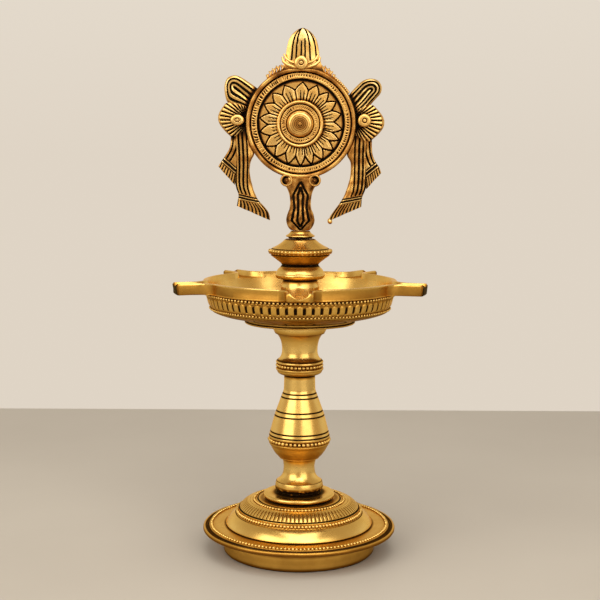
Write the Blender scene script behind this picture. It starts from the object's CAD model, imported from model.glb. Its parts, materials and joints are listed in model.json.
# %% [markdown]
# # A brass oil lamp with five spouts and a wheel finial
# This lamp is a stack of turned brass castings that screw together on hidden studs.
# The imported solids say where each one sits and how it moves. Here each of them is made
# again with its beads, flutes and carving, and gets a worn brass finish.

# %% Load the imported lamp
import json
import math
import random
from bisect import bisect_right

import bmesh
import bpy
from mathutils import Matrix, Vector, noise


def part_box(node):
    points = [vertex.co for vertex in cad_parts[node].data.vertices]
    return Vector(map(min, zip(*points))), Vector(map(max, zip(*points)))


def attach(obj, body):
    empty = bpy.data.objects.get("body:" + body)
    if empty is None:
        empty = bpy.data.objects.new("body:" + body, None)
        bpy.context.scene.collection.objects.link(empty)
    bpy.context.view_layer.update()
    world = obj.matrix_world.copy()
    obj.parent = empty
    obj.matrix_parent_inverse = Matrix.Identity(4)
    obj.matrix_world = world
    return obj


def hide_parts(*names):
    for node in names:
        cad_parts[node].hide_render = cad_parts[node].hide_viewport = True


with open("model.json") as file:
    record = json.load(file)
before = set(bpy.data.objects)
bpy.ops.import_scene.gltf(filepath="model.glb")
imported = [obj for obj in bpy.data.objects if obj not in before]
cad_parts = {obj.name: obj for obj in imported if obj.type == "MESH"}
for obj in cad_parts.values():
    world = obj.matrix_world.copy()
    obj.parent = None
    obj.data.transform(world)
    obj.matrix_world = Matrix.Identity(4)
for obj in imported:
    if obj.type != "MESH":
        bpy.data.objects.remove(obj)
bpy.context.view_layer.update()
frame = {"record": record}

MM = 0.001
# Without a seed of its own, mathutils seeds its noise from the clock
noise.seed_set(5)
BODY_OF = {node: body for body, nodes in frame["record"]["behaviour"]["bodies"].items() for node in nodes}


# %% [markdown]
# All sizes below are in millimetres, as on a workshop drawing. The height of each seat is
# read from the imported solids, so that the new pieces stand exactly where the old ones do.

# %% Heights of the seats
def foot(node):
    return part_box(node)[0].z / MM


def top(node):
    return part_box(node)[1].z / MM


WHEEL_Z = (foot("chakra_wheel") + top("chakra_wheel")) / 2
STUD_BORE = 4.3
SMALL_BORE = 2.8
print("the wheel's centre stands", round(WHEEL_Z, 2), "mm above the table")


# %% [markdown]
# A turned piece starts as a profile: half of its section, from the axis outwards. The
# profile is written as a few corners, and a corner with four numbers is a curve whose first
# pair is its handle. Polishing takes the edge off each corner, so sharp ones are rounded a
# little. Grooves are pressed into the profile along its normal, and each point carries a
# value named soot, from 0 on rubbed metal to 1 in the black bottom of a groove.

# %% Draw a profile
CURVE_STEP = 0.45
SOFT_FROM = math.radians(18)
GROOVE_SHARES = (-0.72, -0.5, -0.32, -0.12, 0.12, 0.32, 0.5, 0.72)
SHORTEST = 0.03


def bend(start, handle, end):
    """Points of a smooth curve after its start."""
    length = (handle - start).length + (end - handle).length
    steps = max(3, math.ceil(length / CURVE_STEP))
    shares = [i / steps for i in range(1, steps + 1)]
    return [start * (1 - t) ** 2 + handle * 2 * t * (1 - t) + end * t * t for t in shares]


def soften(path, size):
    """Rounds each sharp corner of a path."""
    rounded = [path[0]]
    for before, corner, after in zip(path, path[1:], path[2:]):
        back, ahead = before - corner, after - corner
        if math.pi - back.angle(ahead) < SOFT_FROM:
            rounded.append(corner)
            continue
        reach = min(size, 0.4 * back.length, 0.4 * ahead.length)
        first = corner + back.normalized() * reach
        last = corner + ahead.normalized() * reach
        rounded += [first, (first + corner * 2 + last) / 4, last]
    return [*rounded, path[-1]]


class Route:
    """A path that can be read by its length."""

    def __init__(self, path):
        self.path = path
        self.along = [0.0]
        for a, b in zip(path, path[1:]):
            self.along.append(self.along[-1] + (b - a).length)

    def at(self, distance):
        distance = min(max(distance, 0), self.along[-1])
        i = min(bisect_right(self.along, distance), len(self.path) - 1)
        leg = self.along[i] - self.along[i - 1]
        share = (distance - self.along[i - 1]) / leg if leg else 0
        return self.path[i - 1].lerp(self.path[i], share)

    def nearest(self, point):
        """Length along the path of its nearest place to a point."""
        best = (1e9, 0)
        for a, b, start in zip(self.path, self.path[1:], self.along):
            leg = b - a
            share = min(max((point - a).dot(leg) / max(leg.length_squared, 1e-12), 0), 1)
            best = min(best, ((a + leg * share - point).length, start + leg.length * share))
        return best[1]


def dip(distance, half):
    """1 in the middle of a groove, falling to 0 at its edges."""
    return max(0.0, 1 - (abs(distance) / half) ** 4)


def outline(moves, grooves=(), stains=(), soft=0.2, spacing=1.2):
    """Profile points of radius, height and soot. A groove is radius, height, width, depth."""
    path = [Vector(moves[0])]
    for move in moves[1:]:
        corner = Vector(move[-2:])
        path += bend(path[-1], Vector(move[:2]), corner) if len(move) == 4 else [corner]
    route = Route(soften(path, soft))
    stations = set(route.along)
    for a, b in zip(route.along, route.along[1:]):
        parts = math.ceil((b - a) / spacing)
        stations.update(a + (b - a) * i / parts for i in range(parts))
    cuts = [(route.nearest(Vector(g[:2])), *g[2:]) for g in grooves]
    for place, width, *_ in cuts:
        stations = {s for s in stations if abs(s - place) > 0.75 * width}
        stations.update(place + width * share for share in GROOVE_SHARES)
    points = []
    for s in sorted(s for s in stations if 0 <= s <= route.along[-1]):
        here = route.at(s)
        ahead = (route.at(s + 0.02) - route.at(s - 0.02)).normalized()
        inward = Vector((-ahead.y, ahead.x))
        soot = 0.0
        for place, width, depth, *dark in cuts:
            here = here + inward * depth * dip(s - place, width / 2)
            strength = dark[0] if dark else 1.0
            soot = max(soot, strength * min(1, max(0, 1.9 - 1.6 * abs(s - place) / (width / 2))))
        for r, z, reach, amount in stains:
            soot = max(soot, amount * math.exp(-(((here.x - r) ** 2 + (here.y - z) ** 2) / reach**2)))
        if not points or (Vector(points[-1][:2]) - here).length > SHORTEST:
            points.append((max(here.x, 0.0), here.y, soot))
    return points


print(len(outline([(0, 0), (10, 0), (10, 8), (0, 8)], [(10, 4, 0.8, 0.3)])), "points on a trial profile")


# %% [markdown]
# The lathe is a bmesh operator: spin turns the profile round the lamp axis. It makes one
# slice and then copies of the slice, which is much quicker than one long spin, and points
# doubled at the seams and on the axis are merged after it. A fine spin keeps the outline
# round, and gives the flutes and petals enough points to be carved.

# %% Spin a profile
AXIS = (0, 0, 1)


def spun(points, steps):
    """A closed turned form. A profile that leaves the axis is closed on itself."""
    form = bmesh.new()
    soot = form.verts.layers.float.new("soot")
    row = form.verts.layers.int.new("row")
    corners = []
    for index, (radius, height, dark) in enumerate(points):
        corner = form.verts.new((radius * MM, 0, height * MM))
        corner[soot] = dark
        corner[row] = index
        corners.append(corner)
    edges = [form.edges.new(pair) for pair in zip(corners, corners[1:])]
    if points[0][0] > 0:
        edges.append(form.edges.new((corners[-1], corners[0])))
    slices = max(n for n in range(1, 25) if steps % n == 0)
    slice_angle = 2 * math.pi / slices
    bmesh.ops.spin(
        form, geom=corners + edges, cent=(0, 0, 0), axis=AXIS, dvec=(0, 0, 0),
        angle=slice_angle, steps=steps // slices)
    bmesh.ops.spin(
        form, geom=form.verts[:] + form.edges[:] + form.faces[:], cent=(0, 0, 0), axis=AXIS,
        dvec=(0, 0, 0), angle=2 * math.pi - slice_angle, steps=slices - 1, use_duplicate=True)
    bmesh.ops.remove_doubles(form, verts=form.verts[:], dist=0.004 * MM)
    return form


def turned(moves, steps=192, **details):
    return spun(outline(moves, **details), steps)


def reshape(form, carve):
    """Moves each point as carve says. It gets the point in mm and its soot, and returns both."""
    soot = form.verts.layers.float["soot"]
    for v in form.verts:
        here, dark = carve(v.co / MM, v[soot])
        v.co = here * MM
        v[soot] = min(1.0, max(0.0, dark))


def uneven(form, amount, grain):
    """Gives a form the slight waves of hand work."""
    reshape(form, lambda p, dark: (p + noise.noise_vector(p / grain) * amount, dark))


# %% [markdown]
# Beads are the lamp's commonest ornament: rows of small drops, each in a dark bed. One
# low sphere is made, its foot is darkened, and spin lays copies of it round the axis. The
# copies are made a little unequal, because each one was struck by hand.

# %% Lay beads
def joined(form, extra):
    """Adds the form named extra to form."""
    scrap = bpy.data.meshes.new("scrap")
    extra.to_mesh(scrap)
    extra.free()
    form.from_mesh(scrap)
    bpy.data.meshes.remove(scrap)
    return form


def bead_ring(form, radius, height, size, count, out=(0.0, 1.0), stretch=1.0):
    """A ring of beads. The direction out, as radius and height, is where they look."""
    ring = bmesh.new()
    soot = ring.verts.layers.float.new("soot")
    bead = bmesh.ops.create_uvsphere(ring, u_segments=8, v_segments=6, radius=size)["verts"]
    lean = Vector((out[0], 0, out[1])).normalized()
    for v in bead:
        v[soot] = min(1, max(0, 0.25 - 1.3 * v.co.dot(lean) / size))
    bmesh.ops.scale(ring, vec=(1, stretch, 1), verts=bead)
    bmesh.ops.translate(ring, vec=(radius, 0, height), verts=bead)
    bmesh.ops.scale(ring, vec=(MM, MM, MM), verts=bead)
    bmesh.ops.spin(
        ring, geom=ring.verts[:] + ring.edges[:] + ring.faces[:], cent=(0, 0, 0), axis=AXIS,
        dvec=(0, 0, 0), angle=2 * math.pi * (count - 1) / count, steps=count - 1,
        use_duplicate=True)
    dice = random.Random(count)
    ring.verts.ensure_lookup_table()
    for first in range(0, len(ring.verts), len(bead)):
        copy = ring.verts[first:first + len(bead)]
        middle = sum((v.co for v in copy), Vector()) / len(copy)
        grow = dice.uniform(0.86, 1.1)
        for v in copy:
            v.co = middle + (v.co - middle) * grow
    return joined(form, ring)


# %% [markdown]
# Brass is a metal, so its colour comes from what it mirrors, tinted by the base colour.
# The material reads the soot value: rubbed metal is golden, hollows are coppery, then
# brown, then nearly black and dull. Noise breaks the steps up. Fine rings left by the
# lathe are a noise that only knows the distance from the axis and the height.

# %% A helper that wires nodes
def wire(tree, kind, inputs=None, **settings):
    """Adds a node. Sockets among the inputs are linked, and other values are set."""
    made = tree.nodes.new("ShaderNode" + kind)
    for name, value in settings.items():
        setattr(made, name, value)
    for name, value in (inputs or {}).items():
        if isinstance(value, bpy.types.NodeSocket):
            tree.links.new(value, made.inputs[name])
        else:
            made.inputs[name].default_value = value
    return made


def new_finish(name):
    finish = bpy.data.materials.new(name)
    finish.use_nodes = True
    tree = finish.node_tree
    return finish, tree, tree.nodes["Principled BSDF"]


def colour_steps(tree, value, stops):
    """A colour ramp on value, from (position, colour) pairs."""
    ramp = wire(tree, "ValToRGB", {"Fac": value})
    steps = ramp.color_ramp.elements
    while len(steps) < len(stops):
        steps.new(0.5)
    for step, (position, colour) in zip(steps, stops):
        step.position = position
        step.color = (*colour, 1)
    return ramp.outputs["Color"]


# %% [markdown]
# The lamp needs two kinds of brass. The turned pieces are polished, and the finial is
# antique: more of it is tarnished, and it turns dark sooner. Both keep a thin coat of
# lacquer, but only where they are clean.

# %% Brass finishes
LACQUER = 0.12
# Colour of brass that is seen at a flat angle
EDGE_TINT = (1.0, 0.78, 0.46, 1)


def scaled(tree, value, factor, added):
    """A value times a factor, plus what is added."""
    return wire(tree, "Math", {0: value, 1: factor, 2: added}, operation="MULTIPLY_ADD").outputs[0]


def brass(name, stops, smooth, dull, spread, lathe=1.0):
    """Worn brass. Stops colour it from rubbed metal to soot, and spread is the tarnish."""
    finish, tree, shader = new_finish(name)
    place = wire(tree, "TexCoord").outputs["Object"]
    split = wire(tree, "SeparateXYZ", {"Vector": place})
    flat = wire(tree, "VectorMath", {0: place, 1: (1, 1, 0)}, operation="MULTIPLY").outputs["Vector"]
    radius = wire(tree, "VectorMath", {0: flat}, operation="LENGTH").outputs["Value"]
    rings = wire(tree, "CombineXYZ", {"X": radius, "Z": split.outputs["Z"]}).outputs["Vector"]
    turning = wire(tree, "TexNoise", {"Vector": rings, "Scale": 1500, "Detail": 2}).outputs["Fac"]
    broad = {"Vector": place, "Scale": 110, "Detail": 6, "Roughness": 0.62}
    fine = {"Vector": place, "Scale": 1100, "Detail": 4, "Roughness": 0.7}
    clouds = wire(tree, "TexNoise", broad).outputs["Fac"]
    grain = wire(tree, "TexNoise", fine).outputs["Fac"]
    soot = wire(tree, "Attribute", attribute_name="soot").outputs["Fac"]
    patch = scaled(tree, clouds, spread, -0.42 * spread)
    fleck = scaled(tree, grain, 0.14 * spread, patch)
    dark = wire(tree, "Math", {0: soot, 1: fleck}, operation="ADD", use_clamp=True).outputs[0]
    tree.links.new(colour_steps(tree, dark, stops), shader.inputs["Base Color"])
    metal = wire(tree, "MapRange", {0: dark, 1: 0.5, 2: 1, 3: 1, 4: 0.85}).outputs[0]
    tree.links.new(metal, shader.inputs["Metallic"])
    coat = wire(tree, "MapRange", {0: dark, 1: 0.2, 2: 0.7, 3: LACQUER, 4: 0}).outputs[0]
    tree.links.new(coat, shader.inputs["Coat Weight"])
    shader.inputs["Coat Roughness"].default_value = 0.16
    shader.inputs["Specular Tint"].default_value = EDGE_TINT
    matt = wire(tree, "MapRange", {0: dark, 1: 0, 2: 0.8, 3: smooth, 4: dull}).outputs[0]
    wiped = scaled(tree, clouds, 0.16, -0.08)
    rough = wire(tree, "Math", {0: matt, 1: wiped}, operation="ADD", use_clamp=True).outputs[0]
    tree.links.new(rough, shader.inputs["Roughness"])
    height = scaled(tree, turning, lathe, grain)
    bump = wire(tree, "Bump", {"Strength": 0.12, "Distance": 0.012 * MM, "Height": height})
    tree.links.new(bump.outputs["Normal"], shader.inputs["Normal"])
    return finish


POLISHED = [
    (0.0, (0.88, 0.61, 0.19)), (0.22, (0.68, 0.39, 0.07)), (0.5, (0.28, 0.115, 0.013)),
    (0.85, (0.014, 0.007, 0.003))]
ANTIQUE = [
    (0.0, (0.97, 0.72, 0.31)), (0.18, (0.86, 0.54, 0.16)), (0.38, (0.43, 0.195, 0.04)),
    (0.58, (0.10, 0.036, 0.008)), (0.75, (0.008, 0.005, 0.003))]
FINISHES = {
    "polished_brass": brass("worn_polished_brass", POLISHED, 0.24, 0.6, 0.22),
    "antique_brass": brass("dark_antique_brass", ANTIQUE, 0.25, 0.6, 0.6, lathe=0.2),
}


# %% [markdown]
# The studs inside the lamp are plain steel, and the washer under the sleeve is rubber.
# They only show when the lamp is taken apart, but they are finished like the rest.

# %% Steel and rubber
STEEL = [(0.3, (0.42, 0.41, 0.4)), (0.7, (0.62, 0.61, 0.6))]
RUBBER = [(0.3, (0.012, 0.011, 0.01)), (0.75, (0.05, 0.045, 0.04))]


def speckled(name, stops, scale, detail, roughness, bumps, metal=0.0):
    """A plain finish whose colour, roughness and height follow one noise."""
    finish, tree, shader = new_finish(name)
    shader.inputs["Metallic"].default_value = metal
    place = wire(tree, "TexCoord").outputs["Object"]
    specks = wire(tree, "TexNoise", {"Vector": place, "Scale": scale, "Detail": detail}).outputs["Fac"]
    tree.links.new(colour_steps(tree, specks, stops), shader.inputs["Base Color"])
    smooth, dull = roughness
    rough = wire(tree, "MapRange", {0: specks, 3: smooth, 4: dull}).outputs[0]
    tree.links.new(rough, shader.inputs["Roughness"])
    strength, height = bumps
    bump = wire(tree, "Bump", {"Strength": strength, "Distance": height * MM, "Height": specks})
    tree.links.new(bump.outputs["Normal"], shader.inputs["Normal"])
    return finish


FINISHES["steel_stud"] = speckled("threaded_steel", STEEL, 350, 5, (0.25, 0.5), (0.2, 0.05), metal=1.0)
FINISHES["seal_rubber"] = speckled("black_rubber", RUBBER, 900, 4, (0.6, 0.9), (0.3, 0.08))


# %% [markdown]
# Each form becomes a piece of the lamp in the same way: its faces are turned outwards, it
# is shaded smooth but for its crisp edges, and it is told which solid it stands for, which
# body carries it and which finish of the record it takes. Nobody rubs a lamp from below, so
# what faces down gets more tarnish.

# %% Put a piece in place
UNDERSIDE = 0.5


def placed(form, name, node, slot="polished_brass", crease=42):
    row = form.verts.layers.int.get("row")
    if row:
        form.verts.layers.int.remove(row)
    bmesh.ops.recalc_face_normals(form, faces=form.faces[:])
    form.normal_update()
    soot = form.verts.layers.float["soot"]
    for v in form.verts:
        v[soot] = max(v[soot], -UNDERSIDE * v.normal.z)
    mesh = bpy.data.meshes.new(name)
    form.to_mesh(mesh)
    form.free()
    mesh.shade_smooth()
    mesh.set_sharp_from_angle(angle=math.radians(crease))
    mesh.materials.append(FINISHES[slot])
    piece = bpy.data.objects.new(name, mesh)
    bpy.context.scene.collection.objects.link(piece)
    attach(piece, BODY_OF[node])
    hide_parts(node)
    print(name, len(mesh.polygons), "faces")
    return piece


# %% [markdown]
# ## The base
# The foot plate is a heavy turned dish. It stands on a plain foot ring, its rim is a
# rounded lip, and inside the lip run a dark groove and a ring of beads. The rim's side was
# never polished as well as its top, so it keeps a coppery tone.

# %% Foot plate
DISH_FOOT = foot("base_dish")
PLATE = 13.3

dish_form = turned(
    [
        (0, 1), (9, 1), (9, 9.5), (32.2, 9.5), (32.2, 0.5), (32.7, DISH_FOOT), (36.5, DISH_FOOT),
        (37.2, 0.7), (37.2, 7.4), (37.2, 10.1, 44.6, 10.3), (47.4, 10.3, 47.4, 11.5),
        (47.3, 12.75, 46.7, 12.75), (46.2, 12.5), (45.7, 11.5), (44.8, 11.4), (44.4, 12.9),
        (44.1, 13.25), (42.3, 13.25), (42.0, PLATE), (STUD_BORE, PLATE), (STUD_BORE, 4), (0, 4),
    ],
    steps=240,
    stains=[
        (45.2, 11.5, 0.6, 1.0), (44.5, 12.6, 0.5, 0.9), (43.1, 13.3, 0.9, 0.5), (47.4, 11.4, 1.2, 0.6),
        (38.5, 10.1, 2.4, 0.75), (42.0, 10.3, 2.4, 0.75), (45.6, 10.3, 1.6, 0.65), (36.1, PLATE, 0.9, 0.7),
        (36.9, 0, 2.0, 0.75), (37.2, 8.8, 2.2, 0.65), (37.2, 4.5, 3.8, 0.3), (46.0, 12.4, 0.35, 0.95),
    ])
bead_ring(dish_form, 43.15, 13.35, 0.85, 150, stretch=0.9)
uneven(dish_form, 0.05, 9)
placed(dish_form, "turned_foot_plate", "base_dish")


# %% [markdown]
# The dome sits on the plate. Its polished skirt ends in a narrow band of beads, and above
# the band about ninety short flutes run up the shoulder, cut as slots with a round tool.
# The flutes are a rule on the spun form: the angle says rib or slot, the radius says where
# a slot ends.

# %% Dome
DOME = foot("base_dome")
DOME_TOP = top("base_dome")
SHOULDER_FLUTES = 88
BEADS_TOP = 21
flute_foot, flute_end = 29.35, 25.2

dome_form = turned(
    [
        (32.8, DOME), (35.9, DOME), (36.2, DOME + 0.3), (34.5, 17.0, 31.9, 18.55), (31.5, 18.8),
        (30.95, 18.75), (29.95, 20.6), (30.05, 21.1), (29.75, 21.45), (29.45, 21.55),
        (27.6, 24.0, 25.0, 24.85), (22.9, 25.25), (22.7, 25.0), (21.5, 25.1), (21.3, 25.45),
        (19.6, DOME_TOP), (STUD_BORE, DOME_TOP), (STUD_BORE, 22.9), (20, 22.9), (26.7, 18.5),
    ],
    steps=SHOULDER_FLUTES * 8,
    grooves=[
        (31.3, 18.8, 0.45, 0.25), (29.6, 21.5, 0.85, 0.5), (20.4, 25.7, 0.8, 0.4),
        (24.3, 25.0, 0.25, 0.08, 0.4),
    ],
    stains=[
        (30.5, 19.9, 0.9, 0.8), (22.1, 25.0, 0.6, 0.8), (18.2, DOME_TOP, 1.3, 0.45),
        (35.7, DOME, 0.5, 0.6),
    ],
    spacing=0.9)


def flute_shoulder(p, dark):
    radius = math.hypot(p.x, p.y)
    if p.z < BEADS_TOP or not flute_end - 0.3 < radius < flute_foot:
        return p, dark
    share = math.atan2(p.y, p.x) / (2 * math.pi) * SHOULDER_FLUTES % 1 - 0.5
    along = (radius - flute_end) / (flute_foot - flute_end)
    slot = dip(abs(share) - 0.5, 0.16) * min(1, max(0, 6 * along), max(0, 9 * (1 - along)))
    rib = 0.05 * math.cos(share * math.pi)
    return p + Vector((0, 0, rib - 0.25 * slot)), max(dark, 0.75 * slot)


reshape(dome_form, flute_shoulder)
bead_ring(dome_form, 30.55, 19.95, 0.86, 112, out=(0.7, 0.7))
bead_ring(dome_form, 22.1, 25.4, 0.72, 84, out=(0.2, 1))
uneven(dome_form, 0.04, 7)
placed(dome_form, "beaded_dome", "base_dome")


# %% [markdown]
# A flat collar with a shadow gap under it lies between the dome and the stem.

# %% Collar
COLLAR = foot("base_collar")
COLLAR_TOP = top("base_collar")

collar_form = turned(
    [
        (STUD_BORE, COLLAR), (15.6, COLLAR), (15.6, COLLAR + 0.55), (16.7, COLLAR + 0.55),
        (17.5, COLLAR + 0.6, 17.5, COLLAR + 1.5), (17.5, COLLAR_TOP, 16.4, COLLAR_TOP),
        (STUD_BORE, COLLAR_TOP),
    ],
    stains=[(15.8, COLLAR + 0.3, 1.0, 1.0), (11.3, COLLAR_TOP, 1.5, 0.9), (17.4, COLLAR + 0.7, 0.5, 0.4)])
uneven(collar_form, 0.1, 6)
placed(collar_form, "flat_collar", "base_collar")


# %% [markdown]
# ## The stem
# The baluster is the tall turned post. Pairs of fine lines were cut in it on the lathe and
# then blackened, and a row of beads runs in a bed under its belly. Its foot was left rough
# where it meets the collar.

# %% Baluster
STEM = foot("stem_baluster")
STEM_TOP = top("stem_baluster")
LINE = (0.75, 0.35)

baluster_form = turned(
    [
        (STUD_BORE, STEM), (10.6, STEM), (10.9, STEM + 0.5), (10.8, STEM + 1.2), (11.2, STEM + 1.6),
        (11.95, 31.3, 11.75, 32.8), (11.4, 34.7), (11.05, 34.95), (8.7, 36.2, 7.95, 38.8),
        (7.3, 41.6, 7.9, 44.2), (8.2, 45.8, 9.0, 46.2), (9.9, 46.35), (10.0, 46.9),
        (12.3, 48.6, 14.0, 52.4), (14.75, 53.5), (15.0, 53.9), (14.9, 54.3), (14.5, 54.6),
        (14.55, 56.5), (15.0, 56.8), (15.0, 57.3), (12.2, 68.1), (7.75, 80.3),
        (7.6, STEM_TOP - 0.4), (7.3, STEM_TOP), (STUD_BORE, STEM_TOP),
        (STUD_BORE, STEM_TOP - 14.3), (0, STEM_TOP - 14.3), (0.001, STEM + 13.3), (STUD_BORE, STEM + 13.3),
    ],
    steps=168,
    grooves=[
        (14.85, 58.1, *LINE), (14.35, 59.9, *LINE), (12.3, 67.9, *LINE), (11.55, 70.1, *LINE),
        (9.05, 76.9, *LINE), (8.35, 78.8, *LINE), (11.3, 34.85, 0.35, 0.15, 0.7),
    ],
    stains=[
        (11.2, STEM + 0.9, 1.9, 1.0), (14.5, 55.5, 1.2, 1.0), (9.4, 46.8, 0.45, 0.5),
        (7.4, STEM_TOP, 0.7, 1.0), (11.4, 49.5, 3.0, 0.34),
    ])
bead_ring(baluster_form, 14.55, 55.5, 0.98, 44, out=(1, 0))


ROUGH_TOP = STEM + 3.4


def roughen_foot(p, dark):
    if p.z > ROUGH_TOP:
        return p, dark
    wave = noise.noise(p / 1.1) * 0.35 * min(1, ROUGH_TOP - p.z)
    return p + Vector((p.x, p.y, 0)).normalized() * wave, dark + 0.25 - 3.2 * max(0, wave)


reshape(baluster_form, roughen_foot)
uneven(baluster_form, 0.05, 8)
placed(baluster_form, "turned_baluster", "stem_baluster")


# %% [markdown]
# The capital on top of it carries a thick ring with a row of beads between two fine
# edges, and flares into a lip under the saucer.

# %% Capital
CAPITAL = foot("stem_capital")
CAPITAL_TOP = top("stem_capital")

capital_form = turned(
    [
        (STUD_BORE, CAPITAL), (8.3, CAPITAL), (9.2, CAPITAL + 0.2), (10.9, 88.5, 11.2, 90.0),
        (11.55, 90.3), (11.7, 90.9), (11.5, 91.2), (10.75, 91.4), (10.75, 93.4), (11.4, 93.6),
        (11.65, 93.9), (11.5, 94.6), (10.9, 94.9), (10.9, 95.2), (9.1, 96.0, 8.7, 98.9),
        (8.5, 102.3, 9.6, 105.2), (10.7, 107.6, 11.6, 108.0), (12.1, 108.1), (12.2, 108.6),
        (13.0, 109.6, 13.1, 111.2),
        (13.0, CAPITAL_TOP), (STUD_BORE, CAPITAL_TOP),
    ],
    steps=168,
    stains=[
        (8.6, CAPITAL, 1.2, 1.0), (10.8, 92.4, 1.1, 1.0), (10.9, 95.0, 0.5, 0.8), (12.1, 108.4, 0.4, 0.5),
        (13.0, CAPITAL_TOP, 0.5, 0.5),
    ])
bead_ring(capital_form, 10.85, 92.4, 0.84, 36, out=(1, 0), stretch=1.05)
uneven(capital_form, 0.06, 7)
placed(capital_form, "beaded_capital", "stem_capital")


# %% [markdown]
# ## The bowl
# The saucer is a thin disc with a blackened edge. The bowl above it is the lamp's oil
# well, and its rim is drawn out into five open spouts that hold the wicks.

# %% Saucer
SAUCER = foot("bowl_saucer")
SAUCER_TOP = top("bowl_saucer")

saucer_form = turned(
    [
        (STUD_BORE, SAUCER), (25.6, SAUCER), (26.8, SAUCER + 0.1, 26.9, SAUCER + 0.6),
        (26.8, SAUCER + 0.9), (26.3, SAUCER + 1.1), (26.2, SAUCER + 1.5), (26.5, SAUCER_TOP),
        (STUD_BORE, SAUCER_TOP),
    ],
    steps=216,
    stains=[(26.4, SAUCER + 1.1, 0.45, 1.0), (25.2, SAUCER, 0.9, 0.35)])
uneven(saucer_form, 0.06, 8)
placed(saucer_form, "thin_saucer", "bowl_saucer")


# %% [markdown]
# The bowl is spun in one go: first the outside, then the rim as a few known rows of points,
# then the inside. The rows are kept by number, because the spouts are made out of them.

# %% Bowl profile
BOWL = foot("bowl")
RIM = top("bowl")
WELL = BOWL + 2.5
RIM_FLUTES = 70
BOWL_STEPS = RIM_FLUTES * 10
SPOUT_COUNT = 5
CHANNEL = RIM - 2.8
SPOUT_UNDER = RIM - 5.4

bowl_outside = outline(
    [
        (STUD_BORE, BOWL), (27.2, BOWL), (37.2, 117.6), (41.2, 118.7, 42.7, 119.6), (43.3, 120.3),
        (43.5, 121.6), (43.8, 121.9), (44.5, 123.8), (45.2, 126.6), (45.65, 127.0), (45.45, 127.25),
        (45.55, 128.5), (46.0, 128.65), (46.35, 128.7),
    ],
    grooves=[(43.05, 119.7, 0.45, 0.22), (43.7, 121.8, 0.35, 0.2, 0.7)],
    stains=[(43.5, 120.9, 0.6, 0.75), (45.5, 127.9, 0.7, 1.0), (26.6, BOWL, 0.7, 0.9)],
    spacing=0.5)
RIM_ROWS = [
    (46.4, SPOUT_UNDER, 0.4), (46.95, SPOUT_UNDER + 0.3, 0.1), (46.55, SPOUT_UNDER + 0.8, 0.38),
    (46.75, RIM - 0.9, 0.24), (46.9, RIM - 0.35, 0.04), (46.7, RIM, 0.0), (45.0, RIM, 0.0),
    (44.7, RIM - 0.25, 0.04), (44.1, CHANNEL + 0.25, 0.1), (44.03, CHANNEL + 0.05, 0.1),
    (44.0, CHANNEL - 0.1, 0.06), (43.75, CHANNEL - 1.1, 0.04), (43.5, CHANNEL - 2.2, 0.02),
]
bowl_inside = outline(
    [(43.3, CHANNEL - 3.0), (42.1, 124.5), (41.9, 120.6, 29.5, WELL), (STUD_BORE, WELL)],
    stains=[(11.8, WELL, 1.2, 0.6)], spacing=1.6)
first_rim_row = len(bowl_outside)
bowl_form = spun(bowl_outside + RIM_ROWS + bowl_inside, BOWL_STEPS)
print(len(bowl_form.verts), "points in the spun bowl")


# %% [markdown]
# The bowl's wall is carved by a rule. Between a foot and a head line, seventy flutes with
# round heads stand out between dark slots. Under the wall, fourteen petals are incised
# round the saucer, each with a few veins.

# %% Flutes and petals of the bowl
SLOT_FOOT, SLOT_HEAD = 122.15, 126.35
PETALS_UNDER = 14
PETAL_FOOT, PETAL_LENGTH = 27.6, 13.4


def carve_bowl(p, dark):
    radius = math.hypot(p.x, p.y)
    outward = Vector((p.x, p.y, 0)).normalized()
    turn = math.atan2(p.y, p.x) / (2 * math.pi)
    if SLOT_FOOT < p.z < SLOT_HEAD + 0.2 and radius > 43.7:
        share = turn * RIM_FLUTES % 1 - 0.5
        rise = (p.z - SLOT_FOOT) / (SLOT_HEAD - SLOT_FOOT)
        half = 0.39 * math.sqrt(max(0, 1 - (max(0, rise - 0.7) / 0.32) ** 2))
        if abs(share) < half:
            bulge = 0.3 * math.sqrt(1 - (share / half) ** 2)
            return p + outward * bulge, max(dark, 0.16)
        fade = min(1, 8 * rise)
        headroom = min(1, max(0.35, (1.02 - rise) / 0.3))
        return p - outward * 0.45 * fade * headroom, max(dark, 0.98 * fade * headroom)
    if p.z < BOWL + 1.2 + 0.33 * (radius - 27.4) and 27.4 < radius < 41.5:
        share = turn * PETALS_UNDER % 1 - 0.5
        reach = (radius - PETAL_FOOT) / PETAL_LENGTH
        edge = 0.5 * math.sqrt(max(0, 1 - reach**2))
        pitch = radius * 2 * math.pi / PETALS_UNDER
        cut = dip((abs(share) - edge) * pitch, 0.65)
        for vein in (0.0, 0.22):
            if reach < 0.75 - vein:
                cut = max(cut, 0.7 * dip((abs(share) - vein) * pitch, 0.35))
        return p + Vector((0, 0, 0.35 * cut)), max(dark, 0.95 * cut)
    return p, dark


reshape(bowl_form, carve_bowl)


# %% [markdown]
# The spouts are drawn out of the rim as a coppersmith would: the points of the rim rows
# near a spout slide along its plan. The plan is drawn once for a half: across the end,
# along the straight side, and in a hollow curve back to the rim. Columns of points are
# shared out over it by number, counted from the middle of the spout. A table gives each
# row its half width, its reach and its height, and the middle of the end stays low so that
# the channel is open. The front spout is broader than the others, with a rounded end.

# %% Draw the spouts out of the rim
CORNER, STRAIGHT_END, ROOT = 5, 13, 24
END_SHARES = (0, 0.97, 1.93, 2.85, 3.8, 4.7)
FLARE_X = 54.2
root_angle = ROOT * 2 * math.pi / BOWL_STEPS
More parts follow.
